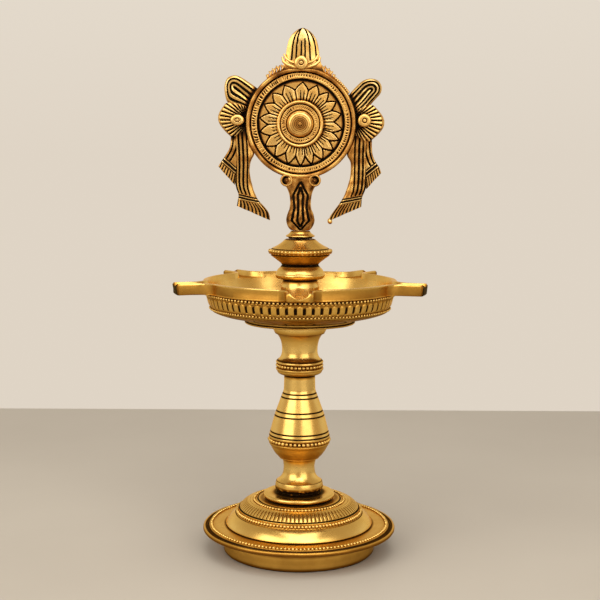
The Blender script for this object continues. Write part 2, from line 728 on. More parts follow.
# Half width, reach, height of the walls, height in the middle of the end, soot at the end
SPOUT_ROWS = {
    1: (4.2, 61.3, SPOUT_UNDER, SPOUT_UNDER, 0.95),
    2: (4.7, 62.0, SPOUT_UNDER + 0.7, SPOUT_UNDER + 0.6, 0.95),
    3: (4.75, 62.0, RIM - 0.9, CHANNEL - 0.6, 0.9),
    4: (4.7, 62.0, RIM - 0.35, CHANNEL - 0.15, 0.8),
    5: (4.4, 61.8, RIM, CHANNEL, 0.3),
    6: (3.2, 61.7, RIM, CHANNEL, 0.2),
    7: (2.95, 61.6, RIM - 0.3, CHANNEL, 0.5),
    8: (2.8, 61.5, CHANNEL + 0.35, CHANNEL, 0.5),
    9: (2.5, 61.4, CHANNEL + 0.05, CHANNEL, 0.5),
}


FRONT_BROADER, FRONT_ROUNDING = 0.25, 1.2
# How much higher the front spout's walls and middle are, below the end's lip and above it
FRONT_LIFT = {"below": (1.3, 1.6), "above": (0, 0.2)}
SIDE_TARNISH = 0.3
MIDDLE_LIFT = 0.6


def spout_plan(column, half, reach, rim_radius):
    """Place of a column on the plan of a spout, from its middle line outwards."""
    if column <= CORNER:
        across = END_SHARES[column]
        if across < half:
            return reach - (0.2 if column == CORNER - 1 else 0), across
        return reach - 0.22 * (column - 2), half
    if column <= STRAIGHT_END:
        start = reach - (0.5 if half > 4 else 0.9)
        return start + (FLARE_X - start) * (column - CORNER) / (STRAIGHT_END - CORNER), half
    share = (ROOT - column) / (ROOT - STRAIGHT_END)
    root = Vector((rim_radius * math.cos(root_angle), rim_radius * math.sin(root_angle)))
    handle = Vector((rim_radius + 1.4, half))
    curve = root * (1 - share) ** 2 + handle * 2 * share * (1 - share) + Vector((FLARE_X, half)) * share**2
    return curve.x, curve.y


def slide_back(column, radius, share):
    """Place on the wall inside the bowl, gathered to the channel or let go again."""
    spread = radius * math.sin(root_angle)
    gathered = math.asin(spread * (column / ROOT) ** 1.6 / radius)
    angle = gathered * share + column * 2 * math.pi / BOWL_STEPS * (1 - share)
    return radius * math.cos(angle), radius * math.sin(angle)


def front_plan(column, x, y):
    """Place of a column of the front spout, from its place on a common one."""
    to_end = (column / CORNER) ** 2 if column < CORNER else max(0, 1 - (column - CORNER) / 8)
    to_rim = min(1, (ROOT - column) / (ROOT - STRAIGHT_END))
    return x - FRONT_ROUNDING * to_end, y * (1 + FRONT_BROADER * to_rim)


def draw_spouts(form):
    soot = form.verts.layers.float["soot"]
    row = form.verts.layers.int["row"]
    per_spout = BOWL_STEPS // SPOUT_COUNT
    first = BOWL_STEPS * 3 // 4
    for v in form.verts:
        index = v[row] - first_rim_row
        if not 1 <= index <= 12:
            continue
        turn = round(math.atan2(v.co.y, v.co.x) / (2 * math.pi) * BOWL_STEPS)
        offset = (turn - first + per_spout // 2) % per_spout - per_spout // 2
        column, side = abs(offset), math.copysign(1, offset)
        if column > ROOT:
            continue
        radius = math.hypot(v.co.x, v.co.y) / MM
        height = v.co.z / MM
        if index in SPOUT_ROWS:
            half, reach, wall, middle, dark = SPOUT_ROWS[index]
            x, y = spout_plan(column, half, reach, radius)
            drawn = min(1, (ROOT - column) / 8)
            if (turn - offset) % BOWL_STEPS == first:
                dark = 0
                v[soot] = min(v[soot], 0.1 + 0.03 * column)
                x, y = front_plan(column, x, y)
                wall_lift, middle_lift = FRONT_LIFT["below" if index < 3 else "above"]
                wall += wall_lift
                middle += middle_lift
            else:
                middle += (wall - middle) * MIDDLE_LIFT
            lifted = middle + (wall - middle) * min(1, column / 4) ** 1.6
            height += (lifted - height) * drawn
            end = max(0, 1 - max(0, column - CORNER + 1) / 2.5)
            side_dark = SIDE_TARNISH * drawn if index < 4 else 0
            v[soot] = max(v[soot], dark * end, side_dark)
        else:
            x, y = slide_back(column, radius, (1.0, 0.7, 0.3)[index - 10])
        middle_angle = (turn - offset) * 2 * math.pi / BOWL_STEPS
        place = Matrix.Rotation(middle_angle, 3, "Z") @ Vector((x, side * y, height))
        v.co = place * MM


draw_spouts(bowl_form)
bead_ring(bowl_form, 45.85, 127.9, 0.72, 144, out=(1, 0.1))
bead_ring(bowl_form, 43.65, 120.9, 0.55, 160, out=(1, -0.3))
uneven(bowl_form, 0.12, 11)
placed(bowl_form, "five_spout_bowl", "bowl")


# %% [markdown]
# A rubber washer under the sleeve keeps the oil in.

# %% Washer
SEAL = foot("bowl_seal")
SEAL_TOP = top("bowl_seal")

seal_form = turned(
    [
        (STUD_BORE, SEAL), (9.2, SEAL), (9.5, SEAL, 9.5, SEAL + 0.5), (9.5, SEAL_TOP, 9.2, SEAL_TOP),
        (STUD_BORE, SEAL_TOP),
    ],
    steps=72)
placed(seal_form, "rubber_washer", "bowl_seal", "seal_rubber")


# %% [markdown]
# ## The hub
# A sleeve and a round bulge stand in the middle of the bowl. They are plain turned pieces
# with a dark seam where they meet.

# %% Sleeve and bulge
SLEEVE = foot("hub_sleeve")
SLEEVE_TOP = top("hub_sleeve")
BULGE = foot("hub_bulge")
BULGE_TOP = top("hub_bulge")

sleeve_form = turned(
    [
        (STUD_BORE, SLEEVE), (11.2, SLEEVE), (11.6, SLEEVE + 0.4), (9.9, SLEEVE + 2.5, 9.45, SLEEVE + 8),
        (9.2, SLEEVE + 11.5), (8.5, SLEEVE + 12.8, 8.4, SLEEVE_TOP), (STUD_BORE, SLEEVE_TOP),
    ],
    steps=144,
    stains=[(8.4, SLEEVE_TOP, 1.1, 0.95), (11.5, SLEEVE, 0.7, 0.8)])
uneven(sleeve_form, 0.12, 4)
placed(sleeve_form, "flared_sleeve", "hub_sleeve")

bulge_form = turned(
    [
        (STUD_BORE, BULGE), (8.7, BULGE), (11.0, BULGE + 0.3), (12.1, BULGE + 0.8, 12.1, BULGE + 1.9),
        (12.0, BULGE + 2.5), (11.6, BULGE + 2.8), (11.4, BULGE + 4.4, 9.6, BULGE + 5.7), (9.0, BULGE_TOP),
        (STUD_BORE, BULGE_TOP),
    ],
    steps=144,
    stains=[(8.8, BULGE, 0.8, 1.0), (8.9, BULGE_TOP, 0.9, 1.0)])
uneven(bulge_form, 0.07, 6)
placed(bulge_form, "round_bulge", "hub_bulge")


# %% [markdown]
# The disc above them is a double cone that ends in a knife edge. The edge is beaded above
# and below, between two black lines. The disc is bored from both sides for its two studs.

# %% Disc with a knife edge
HUB = foot("hub_disc")
HUB_TOP = top("hub_disc")
EDGE = HUB + 6.4
stud_top = top("bowl_stud")
small_stud_foot = foot("finial_stud")

disc_form = turned(
    [
        (STUD_BORE, HUB), (8.9, HUB), (9.3, HUB + 0.8), (14.3, EDGE - 1.8), (14.35, EDGE - 1.2),
        (15.2, EDGE - 0.8, 15.6, EDGE), (15.3, EDGE + 0.7, 14.2, EDGE + 1.25), (13.9, EDGE + 1.3),
        (13.7, EDGE + 1.7), (10.4, EDGE + 3.0, 7.5, HUB_TOP - 0.3), (6.8, HUB_TOP), (SMALL_BORE, HUB_TOP),
        (SMALL_BORE, small_stud_foot - 0.3), (0, small_stud_foot - 0.3), (0.001, stud_top + 0.3),
        (STUD_BORE, stud_top + 0.3),
    ],
    steps=180,
    grooves=[(14.3, EDGE - 1.5, 0.5, 0.4), (13.85, EDGE + 1.4, 0.55, 0.4)],
    stains=[(8.9, HUB, 1.2, 1.0), (15.1, EDGE - 0.2, 0.9, 0.55), (6.9, HUB_TOP, 0.6, 0.8)])
bead_ring(disc_form, 14.95, EDGE + 0.45, 0.62, 46, out=(0.8, 0.6), stretch=1.3)
bead_ring(disc_form, 14.95, EDGE - 0.55, 0.42, 46, out=(0.8, -0.6), stretch=1.3)
uneven(disc_form, 0.08, 4)
placed(disc_form, "knife_edge_disc", "hub_disc")


# %% [markdown]
# ## The hidden studs
# Each stud is a steel rod with a real thread. The thread's ridge is a small triangle that
# spin carries round the rod and lifts by one pitch a turn. The pitches are the ones that
# the joints of the lamp turn by.

# %% Threaded studs
THREAD_STEPS = 24


def stud(name, node, radius, pitch):
    low, high = foot(node), top(node)
    depth = 0.55 * pitch
    core = radius - depth
    form = turned(
        [(0, low), (core - 0.4, low), (core, low + 0.5), (core, high - 0.5), (core - 0.4, high), (0, high)],
        steps=THREAD_STEPS, spacing=3)
    ridge = bmesh.new()
    soot = ridge.verts.layers.float.new("soot")
    start = low + 0.8
    section = [(core - 0.1, start - 0.45 * pitch), (radius, start), (core - 0.1, start + 0.45 * pitch)]
    corners = [ridge.verts.new((r * MM, 0, z * MM)) for r, z in section]
    face = ridge.faces.new(corners)
    for v in corners:
        v[soot] = 0.0
    turns = int((high - low - 1.6) / pitch)
    bmesh.ops.spin(
        ridge, geom=[*face.edges, *corners], cent=(0, 0, 0), axis=AXIS,
        dvec=(0, 0, pitch / THREAD_STEPS * MM), angle=2 * math.pi, steps=THREAD_STEPS)
    ridge.faces.remove(face)
    bmesh.ops.spin(
        ridge, geom=ridge.verts[:] + ridge.edges[:] + ridge.faces[:], cent=(0, 0, 0), axis=AXIS,
        dvec=(0, 0, pitch * MM), angle=2 * math.pi * (turns - 1), steps=turns - 1, use_duplicate=True)
    bmesh.ops.remove_doubles(ridge, verts=ridge.verts[:], dist=0.004 * MM)
    bmesh.ops.holes_fill(ridge, edges=ridge.edges[:])
    print(name, "has", turns, "turns of thread")
    return placed(joined(form, ridge), name, node, "steel_stud", crease=30)


stud("threaded_stem_stud", "stem_stud", 4, 1.25)
stud("threaded_bowl_stud", "bowl_stud", 4, 1.25)
stud("threaded_finial_stud", "finial_stud", 2.5, 0.8)


# %% [markdown]
# ## The finial
# The finial is one brazed casting: a stem with scrolls, a wheel with a lotus, a crest, two
# flames, two shells and two ribbons. It is darker than the rest, because the carving was
# blackened and only its high places were rubbed bright again.

# %% Finial collar
NECK = foot("finial_collar")
NECK_TOP = top("finial_collar")

neck_form = turned(
    [
        (SMALL_BORE, NECK), (5.9, NECK), (5.6, NECK + 0.45), (6.7, NECK + 0.8), (7.1, NECK + 1.1),
        (6.9, NECK + 1.5), (5.2, NECK + 2.2, 4.5, NECK_TOP), (SMALL_BORE, NECK_TOP),
    ],
    steps=120,
    stains=[(5.7, NECK + 0.4, 0.75, 1.0), (4.5, NECK_TOP, 0.6, 0.6)])
uneven(neck_form, 0.07, 3)
placed(neck_form, "sharp_collar", "finial_collar")


# %% [markdown]
# The stem of the finial is spun and then pressed flat. Two nested lozenges are cut deep
# into its face: their half widths are given at a few heights, and a point is in a groove
# when it is near one of these lines. A scroll is turned for each upper corner.

# %% Finial stem
SHAFT = foot("finial_stem")
SCROLL_Z = SHAFT + 24


def reading(table, at):
    """Value from a table of (place, value) pairs, straight between them."""
    for (a, low), (b, high) in zip(table, table[1:]):
        if a <= at <= b:
            return low + (high - low) * (at - a) / (b - a)
    return table[0][1] if at < table[0][0] else table[-1][1]


def face_front(form, x=0.0, z=0.0):
    """Turns a form that was spun flat to look at the viewer, at x and z from the wheel's centre."""
    upright = Matrix.Rotation(math.pi / 2, 3, "X")
    bmesh.ops.rotate(form, verts=form.verts[:], cent=(0, 0, 0), matrix=upright)
    bmesh.ops.translate(form, verts=form.verts[:], vec=(x * MM, 0, (WHEEL_Z + z) * MM))
    return form


OUTER_LOZENGE = [(158.5, 0), (162.9, 4.1), (169.1, 2.9), (175.2, 3.5), (181.6, 0)]
INNER_LOZENGE = [(159.9, 0), (162.9, 1.55), (169.1, 1.0), (175.2, 1.25), (179.2, 0)]
HALF_DEPTH = [(158.2, 4.3), (165, 4.0), (172.2, 2.7), (186, 2.6)]

shaft_points = outline(
    [
        (0, SHAFT), (4.4, SHAFT), (6.6, SHAFT + 1.6, 6.85, SHAFT + 5), (6.6, SHAFT + 7.6, 5.3, SHAFT + 10),
        (4.7, SHAFT + 13.5, 5.3, SHAFT + 16.5), (5.9, SHAFT + 19.5, 7.4, SHAFT + 21.5),
        (9.0, SHAFT + 24.0), (7.6, SHAFT + 25.3), (0, SHAFT + 25.3),
    ],
    spacing=0.35)
shaft_form = spun(shaft_points, 160)


def carve_shaft(p, dark):
    depth = reading(HALF_DEPTH, p.z)
    radius = math.hypot(p.x, p.y)
    flat = depth / radius if radius > depth else 1
    y = p.y * flat
    cut = 0.0
    if radius > 0.4:
        for table in (OUTER_LOZENGE, INNER_LOZENGE):
            if table[0][0] < p.z < table[-1][0]:
                cut = max(cut, dip(abs(p.x) - reading(table, p.z), 0.62))
    facing = min(1, abs(y) / depth * 1.8)
    worn = 0.3 + 0.25 * noise.noise(p / 2.5)
    return Vector((p.x, y * (1 - 0.34 * cut * facing), p.z)), max(worn, cut * facing)


reshape(shaft_form, carve_shaft)
for side in (-1, 1):
    scroll = turned(
        [
            (0, -2.6), (2.7, -2.6), (3.0, -2.3), (3.0, 2.2), (2.9, 2.9, 2.5, 2.9), (2.1, 2.9), (1.9, 1.2),
            (1.2, 1.1), (1.05, 2.5), (0.6, 2.9), (0, 3.0),
        ],
        steps=48,
        stains=[(1.7, 1.0, 1.5, 1.0), (0.6, 2.9, 0.6, 0.5)])
    joined(shaft_form, face_front(scroll, side * 6.75, SCROLL_Z - WHEEL_Z))
uneven(shaft_form, 0.1, 3)
placed(shaft_form, "lozenge_shaft", "finial_stem", "antique_brass")


# %% [markdown]
# The wheel is the richest piece. It is spun flat like the rest, with its rings and grooves
# in the profile. Its nineteen lotus petals were laid out by eye, so their tips are given
# one by one, as degrees clockwise from the top.

# %% Wheel profile
PETAL_TIPS = (
    2.6, 23.3, 42.1, 58.7, 77, 98.6, 113.4, 129.3, 148.8, 165, 180, 197.5, 217.3, 237.3, 257.8,
    277.1, 296.8, 316.2, 336.3)
WHEEL_STEPS = 760
FIELD = 1.1
PETAL_ROOT, PETAL_SHOULDER = 11.0, 15.7

wheel_points = outline(
    [(2.7, FIELD), (2.7, -2.2), (17.5, -2.2), (17.8, -1.9), (20.3, -1.9), (20.6, -2.2), (25.4, -2.2),
     (26.4, -2.2, 26.4, -1.2), (26.4, 0.9)], spacing=2.5)
wheel_points += outline(
    [
        (26.4, 1.0), (26.4, 2.9, 25.3, 2.9), (24.35, 2.9, 24.2, 1.7), (24.1, 0.9), (23.85, 0.9),
        (23.7, 2.0), (23.5, 2.2), (21.2, 2.2), (21.0, 2.0), (20.9, 0.7), (20.3, 0.5), (20.1, FIELD),
        (10.8, FIELD), (3.2, FIELD),
    ],
    stains=[(23.95, 1.1, 1.0, 1.0), (20.6, 0.7, 1.1, 1.0), (26.4, 0.9, 1.2, 0.6)],
    spacing=0.3, soft=0.15)
wheel_form = spun(wheel_points, WHEEL_STEPS)


# %% [markdown]
# The wheel's front is carved by rules that know the distance from the middle and the
# angle: petals with a dark outline and veins in the field, and punched marks in the outer
# band, which are long strokes on the left and dots elsewhere.

# %% Carve the wheel
def petal_at(clockwise):
    """Tip, half sector in radians and share of the way to the next petal, from -1 to 1."""
    for i, tip in enumerate(PETAL_TIPS):
        before = PETAL_TIPS[i - 1] - (360 if i == 0 else 0)
        after = PETAL_TIPS[(i + 1) % len(PETAL_TIPS)] + (360 if i == len(PETAL_TIPS) - 1 else 0)
        for shift in (0, 360):
            offset = clockwise - shift - tip
            half = (after - tip) / 2 if offset > 0 else (tip - before) / 2
            if abs(offset) <= half:
                return tip, math.radians(half), offset / half
    return 0, 0.16, 0.0


def carve_petal(radius, clockwise):
    """Rise over the field and soot of a place among the petals."""
    tip, half, share = petal_at(clockwise)
    reach = 19.65 - 0.5 * math.cos(math.radians(tip))
    wide = half * radius
    if radius < PETAL_SHOULDER:
        inside = (1 - abs(share)) * wide
    elif radius < reach:
        narrow = ((reach - radius) / (reach - PETAL_SHOULDER)) ** 0.85
        inside = (narrow - abs(share)) * wide * 0.72
    else:
        inside = -max(radius - reach, abs(share) * wide)
    line = dip(inside, 0.28)
    if inside < 0:
        return 0.25 - 0.8 * line, max(0.15, line)
    rise = 0.45 + 0.25 * min(1, inside / 1.2) + 0.12 * dip(inside - 0.55, 0.25)
    vein = 0.0
    longest = 15.0 - 0.8 * math.sin(tip * 7)
    if radius < longest:
        taper = 0.16 + 0.2 * (longest - radius) / 4
        vein = dip(abs(share) * wide - 0.66 - 0.05 * (radius - 11), taper)
    dark = 0.08 + 0.5 * max(0, 1 - (radius - PETAL_ROOT) / 1.4) - 0.08 * dip(inside - 0.55, 0.25)
    return rise * (1 - line) - 0.55 * line - 0.5 * vein, max(dark, line, vein)


# Degrees clockwise from the top between which the punched marks are long strokes
STROKES_FROM, STROKES_TO = 215, 345


def carve_band(p, radius, clockwise, count, middle, half, seed):
    """Depth of the marks punched in a band, long strokes on one side and dots on the other."""
    wander = 0.8 * noise.noise(Vector((p.x, p.y, seed)) / 3)
    share = (clockwise / 360 * count + wander) % 1 - 0.5
    strength = 0.75 + 0.9 * noise.noise(Vector((p.x, p.y, seed + 9)) / 2.2)
    long = 0.95 if STROKES_FROM < clockwise < STROKES_TO else 0.5
    return max(0, min(1, strength)) * dip(share, 0.3) * dip(radius - middle, half * long)


def carve_wheel(p, dark):
    if p.z < 0.9:
        return p, dark
    radius = math.hypot(p.x, p.y)
    clockwise = (90 - math.degrees(math.atan2(p.y, p.x))) % 360
    if PETAL_ROOT - 0.2 < radius < 20.15 and abs(p.z - FIELD) < 0.1:
        rise, soot = carve_petal(radius, clockwise)
        return p + Vector((0, 0, rise)), max(dark, soot)
    if 21.1 < radius < 23.6 and p.z > 2.0:
        mark = carve_band(p, radius, clockwise, 116, 22.4, 1.1, 1)
        return p - Vector((0, 0, 0.4 * mark)), max(dark, 0.1, 0.95 * mark)
    dull = 0.24 + 0.3 * noise.noise(p / 7) if radius > 24.2 else 0.06
    return p, max(dark, dull)


reshape(wheel_form, carve_wheel)
uneven(wheel_form, 0.07, 5)
placed(face_front(wheel_form), "carved_wheel", "chakra_wheel", "antique_brass", crease=50)


# %% [markdown]
# The boss is a turned button pinned on the wheel, a little off its middle. It has a rounded
# ring, a punched band and a low dome on which the turning tool left its rings.

# %% Boss
boss_points = outline([(0, -2.2), (2.4, -2.2), (2.4, 1.4), (11.2, 1.4)], spacing=3)
boss_points += outline(
    [
        (11.3, 1.5), (11.3, 3.6, 10.45, 3.6), (9.75, 3.6, 9.55, 2.9), (9.4, 2.3), (9.2, 2.3), (9.1, 2.95),
        (8.95, 3.1), (6.85, 3.1), (6.7, 2.95), (6.6, 2.3), (6.4, 2.3), (6.35, 3.0), (6.0, 4.6, 3.4, 4.8),
        (0.95, 4.85), (0.9, 5.2), (0.6, 5.4), (0, 5.42),
    ],
    grooves=[(5.3, 4.1, 0.3, 0.07, 0.35), (4.4, 4.55, 0.3, 0.08, 0.4), (3.5, 4.8, 0.3, 0.09, 0.5),
             (2.6, 4.82, 0.3, 0.09, 0.55), (1.8, 4.83, 0.3, 0.1, 0.6), (1.05, 4.85, 0.3, 0.12, 0.8)],
    stains=[(9.3, 2.3, 0.5, 1.0), (6.5, 2.3, 0.5, 1.0), (1.6, 4.85, 2.4, 0.33), (11.3, 1.5, 0.6, 1.0)],
    spacing=0.3, soft=0.12)
boss_form = spun(boss_points, 420)


def carve_boss(p, dark):
    radius = math.hypot(p.x, p.y)
    if p.z > 3.0 and 6.8 < radius < 9.0:
        clockwise = (90 - math.degrees(math.atan2(p.y, p.x))) % 360
        mark = carve_band(p, radius, clockwise, 54, 7.9, 0.95, 4)
        return p - Vector((0, 0, 0.3 * mark)), max(dark, 0.12, 0.8 * mark)
    return p, max(dark, 0.06)


reshape(boss_form, carve_boss)
uneven(boss_form, 0.06, 4)
placed(face_front(boss_form, -0.4, -0.4), "turned_boss", "chakra_boss", "antique_brass")


# %% [markdown]
# ## Crest, flames, shells and ribbons
# These are flat castings with carved fronts. Each starts as a bmesh grid that is extruded
# to a slab. A rule then lays the grid along the casting's own outline: u runs across it and
# v along it, and a second rule gives the height and the soot of each place of its front.

# %% Cast a plate
def plate(place, front, back, columns, rows):
    form = bmesh.new()
    soot = form.verts.layers.float.new("soot")
    bmesh.ops.create_grid(form, x_segments=columns, y_segments=rows, size=0.5)
    made = bmesh.ops.extrude_face_region(form, geom=form.faces[:])["geom"]
    fronts = {g for g in made if isinstance(g, bmesh.types.BMVert)}
    for v in form.verts:
        u, along = v.co.x + 0.5, v.co.y + 0.5
        x, z = place(u, along)
        height, dark = front(u, along)
        is_front = v in fronts
        v.co = Vector((x, -height if is_front else back, WHEEL_Z + z)) * MM
        v[soot] = min(1, max(0, dark if is_front else 0.3))
    bmesh.ops.remove_doubles(form, verts=form.verts[:], dist=0.002 * MM)
    return form


def edge_round(u, width):
    """Falls from 1 to 0 at both sides of a plate."""
    near = min(u, 1 - u) / width
    return math.sqrt(max(0, 1 - (1 - min(1, near)) ** 2))


def smooth(points, rounds=2):
    """Points rounded by cutting their corners."""
    path = [Vector(p) for p in points]
    for _ in range(rounds):
        cut = [path[0]]
        for a, b in zip(path, path[1:]):
            cut += [a.lerp(b, 0.25), a.lerp(b, 0.75)]
        path = [*cut, path[-1]]
    return path


def on_path(path, share):
    """Place at a share of a path's points, from 0 to 1."""
    at = share * (len(path) - 1)
    first = min(int(at), len(path) - 2)
    return path[first].lerp(path[first + 1], at - first)


WHEEL_EDGE = 26.3


def off_wheel(here):
    """Moves a place that the wheel would hide to the wheel's edge."""
    return here.normalized() * WHEEL_EDGE if here.length < WHEEL_EDGE else here


def lobe(x, z, direction, length, width, height, y):
    """One rounded leaf lobe, looking away from the rim."""
    form = bmesh.new()
    soot = form.verts.layers.float.new("soot")
    bmesh.ops.create_uvsphere(form, u_segments=12, v_segments=8, radius=1)
    for v in form.verts:
        v[soot] = min(1, max(0, 0.35 + 0.9 * (v.co.y - 0.1) + 0.5 * (abs(v.co.z) - 0.6)))
    bmesh.ops.scale(form, vec=(length, height, width), verts=form.verts[:])
    turn = Matrix.Rotation(-direction, 3, "Y")
    bmesh.ops.rotate(form, verts=form.verts[:], cent=(0, 0, 0), matrix=turn)
    bmesh.ops.translate(form, verts=form.verts[:], vec=(x, y, z + WHEEL_Z))
    bmesh.ops.scale(form, verts=form.verts[:], vec=(MM, MM, MM))
    return form


# %% [markdown]
# A strand is a thin round bar: a circle is extruded step by step along a line, and each
# step is turned and sized to fit. It makes the crossed bands under the crest.

# %% Draw a strand
def strand(points, sizes):
    """A tapering bar through points of x, y and z from the wheel's centre."""
    form = bmesh.new()
    soot = form.verts.layers.float.new("soot")
    stops = [Vector((x, y, WHEEL_Z + z)) for x, y, z in points]
    heading = (stops[1] - stops[0]).normalized()
    start = Matrix.Translation(stops[0]) @ heading.to_track_quat("Z", "X").to_matrix().to_4x4()
    bmesh.ops.create_circle(form, cap_ends=True, segments=10, radius=sizes[0], matrix=start)
    edges = form.edges[:]
    for i in range(1, len(stops)):
        made = bmesh.ops.extrude_edge_only(form, edges=edges)["geom"]
        ring = [g for g in made if isinstance(g, bmesh.types.BMVert)]
        edges = [g for g in made if isinstance(g, bmesh.types.BMEdge)]
        bmesh.ops.translate(form, verts=ring, vec=stops[i] - stops[i - 1])
        after = stops[min(i + 1, len(stops) - 1)]
        new_heading = (after - stops[i - 1]).normalized()
        turn = heading.rotation_difference(new_heading).to_matrix()
        bmesh.ops.rotate(form, verts=ring, cent=stops[i], matrix=turn)
        grow = sizes[i] / sizes[i - 1]
        bmesh.ops.scale(form, verts=ring, vec=(grow,) * 3, space=Matrix.Translation(-stops[i]))
        heading = new_heading
    bmesh.ops.contextual_create(form, geom=edges)
    for v in form.verts:
        v[soot] = 0.1
    bmesh.ops.scale(form, verts=form.verts[:], vec=(MM, MM, MM))
    return form


# %% [markdown]
# The crest is a pointed flame with upright flutes that close at its tip, a round stud in
# front of its foot, crossed bands behind the stud and a small leaf on each side.

# %% Crest
CREST_LEAN = 0.7
CREST_SEAT, CREST_TIP = 26.2, 45.0
CREST_EDGE = [
    (22.4, 10.6), (26.0, 9.6), (28.2, 8.8), (30.6, 8.1), (33.2, 7.8), (36.0, 7.4), (38.0, 6.9),
    (39.9, 6.1), (41.6, 5.0), (43.0, 3.6), (43.9, 2.3), (44.6, 0.6)]
CREST_FLUTES = ((-0.64, 1.0), (-0.38, 1.0), (-0.09, 0.62), (0.15, 0.68), (0.44, 1.0), (0.8, 0.9))
crest_route = Route([Vector((z, half)) for z, half in CREST_EDGE])


def place_crest(u, v):
    z, half = crest_route.at(v * crest_route.along[-1])
    x = (2 * u - 1) * half + CREST_LEAN
    return x, max(z, math.sqrt(max(0, CREST_SEAT**2 - x * x)) if v < 0.5 else z)


def face_crest(u, v):
    across = 2 * u - 1
    z, half = crest_route.at(v * crest_route.along[-1])
    dome = math.sqrt(max(0.02, 1 - (0.93 * across) ** 2))
    fall = min(1, max(0, (CREST_TIP - z) / 9))
    height = 0.5 + 2.1 * dome * math.sqrt(1 - (1 - fall) ** 2)
    cut = 0.0
    for flute, reach in CREST_FLUTES:
        if z < 29 + 15.5 * reach:
            cut = max(cut, dip((across - flute) * half, 0.34 + 0.05 * reach))
    if z < 30.5:
        cut *= max(0, (z - 28.5) / 2)
    return height - 0.9 * cut, max(0.2 * (1 - dome), cut, 0.4 * max(0, (28.5 - z) / 2.5))


crest_form = plate(place_crest, face_crest, 1.8, 110, 90)
for side in (-1, 1):
    outer_band = [(side * 8.9, -1.6, 31.0), (side * 8.4, -2.2, 28.9), (side * 6.6, -2.7, 27.4),
                  (side * 4.2, -3.0, 26.4), (side * 1.8, -3.0, 26.0)]
    joined(crest_form, strand(outer_band, (0.5, 0.75, 0.85, 0.8, 0.6)))
    inner_band = [(side * 8.2, -2.0, 32.4), (side * 7.0, -2.5, 30.2), (side * 5.3, -2.9, 28.9),
                  (side * 3.4, -3.0, 28.1)]
    joined(crest_form, strand(inner_band, (0.4, 0.65, 0.7, 0.6)))
# Degrees from the first leaf, and length
LEAVES = [(0.0, 2.0), (4.6, 2.3), (9.0, 2.1), (13.2, 1.8), (17.2, 1.3)]
for side, start in ((-1, 18.5), (1, 18.0)):
    for step, size in LEAVES:
        angle = math.radians(90 - side * (start + step))
        out = 26.5 + 0.4 * size
        for lean in (0.75, -0.15):
            direction = angle + side * lean
            x, z = out * math.cos(angle), out * math.sin(angle)
            joined(crest_form, lobe(x, z, direction, size, 0.62, 1.3, -0.7 * lean))
RIM_BEADS, BEADS_OUT = 10, 26.7
for step in range(RIM_BEADS):
    angle = math.radians(54 - 2.3 * step)
    x, z = BEADS_OUT * math.cos(angle), BEADS_OUT * math.sin(angle)
    joined(crest_form, lobe(x, z, angle, 0.85, 0.62, 1.1, -0.2))
uneven(crest_form, 0.1, 3)
placed(crest_form, "fluted_crest", "crest_flame", "antique_brass")


# %% [markdown]
# The studs are small turned buttons. Each has a ring and a dot, cut with a hollow punch.

# %% Studs of the finial
def button(name, node, radius, shank, x, z, squeeze=1.0):
    low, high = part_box(node)
    face = -low.y / MM
    seat = face - 1.5
    form = turned(
        [
            (0, -1.8), (shank, -1.8), (shank, seat), (radius - 0.1, seat), (radius, seat + 0.4),
            (radius, face - 0.3, 0.62 * radius, face - 0.15), (0.42 * radius, face - 0.15),
            (0.35 * radius, face - 0.4), (0.28 * radius, face - 0.35), (0.2 * radius, face), (0, face),
        ],
        steps=56,
        stains=[(0.33 * radius, face - 0.45, 0.24, 0.9), (radius, seat, 0.6, 1.0)],
        spacing=0.4, soft=0.12)

    def squash(p, dark):
        narrow = squeeze if p.z > seat else 1
        return Vector((p.x, p.y * narrow, p.z)), max(dark, 0.04)

    reshape(form, squash)
    face_front(form, x, z)
    uneven(form, 0.06, 2)
    return placed(form, name, node, "antique_brass")


button("crest_button", "crest_stud", 3.3, 1.5, 0, 28.2)
SHELL_X, SHELL_Z = 30.3, 1.3
button("left_button", "left_stud", 3.3, 1.4, -SHELL_X, SHELL_Z, squeeze=0.8)
button("right_button", "right_stud", 3.2, 1.4, SHELL_X, SHELL_Z)


# %% [markdown]
# A shell sits on each side of the wheel. Its upper and lower edges are given from the wheel
# outwards, and its end swells between them. The ribs fan out from a place behind the wheel,
# one for every few degrees, and each ends in a small scallop of the edge.

# %% Shells
RIB_ANGLE = math.radians(9)
SHELL_EDGES = {
    -1: ([(-25.0, 7.6), (-27.2, 8.2), (-29.8, 8.9), (-33.1, 9.6), (-36.0, 9.3)],
         [(-26.0, -1.6), (-27.4, -3.4), (-28.6, -4.8), (-30.6, -6.1), (-33.4, -6.6)], 4.7),
    1: ([(25.4, 5.6), (26.9, 6.6), (30.2, 8.2), (32.6, 8.7), (34.6, 8.6)],
        [(25.4, -5.4), (26.6, -5.9), (29.4, -7.8), (30.9, -8.6), (32.4, -9.0)], 6.4),
}


